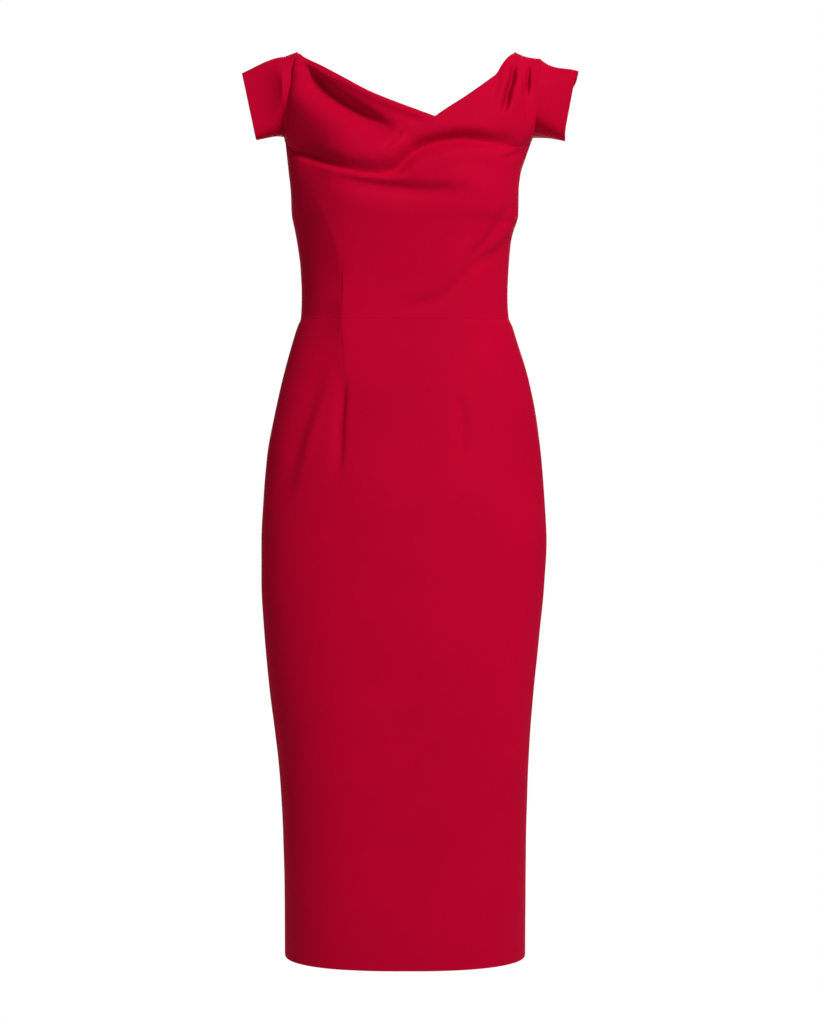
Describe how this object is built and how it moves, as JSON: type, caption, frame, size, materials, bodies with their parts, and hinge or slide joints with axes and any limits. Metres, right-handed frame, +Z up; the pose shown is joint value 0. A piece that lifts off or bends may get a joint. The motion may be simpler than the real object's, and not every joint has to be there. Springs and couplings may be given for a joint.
{
  "type": "bodycon midi dress",
  "caption": "Fitted off-shoulder midi dress with a draped crossover V neckline, short wide sleeves, a waist seam and a pencil skirt.",
  "frame": {"origin": "midway between the two shoulder points, at the height where the wearer's shoulders carry the dress", "axes": "+Z up along the wearer's body, -Y towards the front of the dress, +X to the viewer's right when the front is seen"},
  "size_m": [0.3899, 0.2485, 1.0429],
  "materials": {
    "red_crepe": "matte crepe with a soft sheen",
    "zip_tape": "matte woven tape",
    "zip_metal": "red lacquer"
  },
  "bodies": {
    "dress": {"bodice_front": "red_crepe", "drape_left": "red_crepe", "drape_right": "red_crepe", "bodice_back_left": "red_crepe", "bodice_back_right": "red_crepe", "skirt_front": "red_crepe", "skirt_back_left": "red_crepe", "skirt_back_right": "red_crepe", "sleeve_left": "red_crepe", "sleeve_right": "red_crepe", "zip_tape_left": "zip_tape", "zip_tape_right": "zip_tape", "zip_slider": "zip_metal"},
    "pull_tab": {"zip_pull_tab": "zip_metal"}
  },
  "joints": [
    {"name": "pull_tab_swing", "type": "hinge", "parent": "dress", "child": "pull_tab", "pos_m": [-0.0018, 0.0897, -0.1085], "axis": [1, 0, 0], "range_deg": [0, 170]}
  ]
}
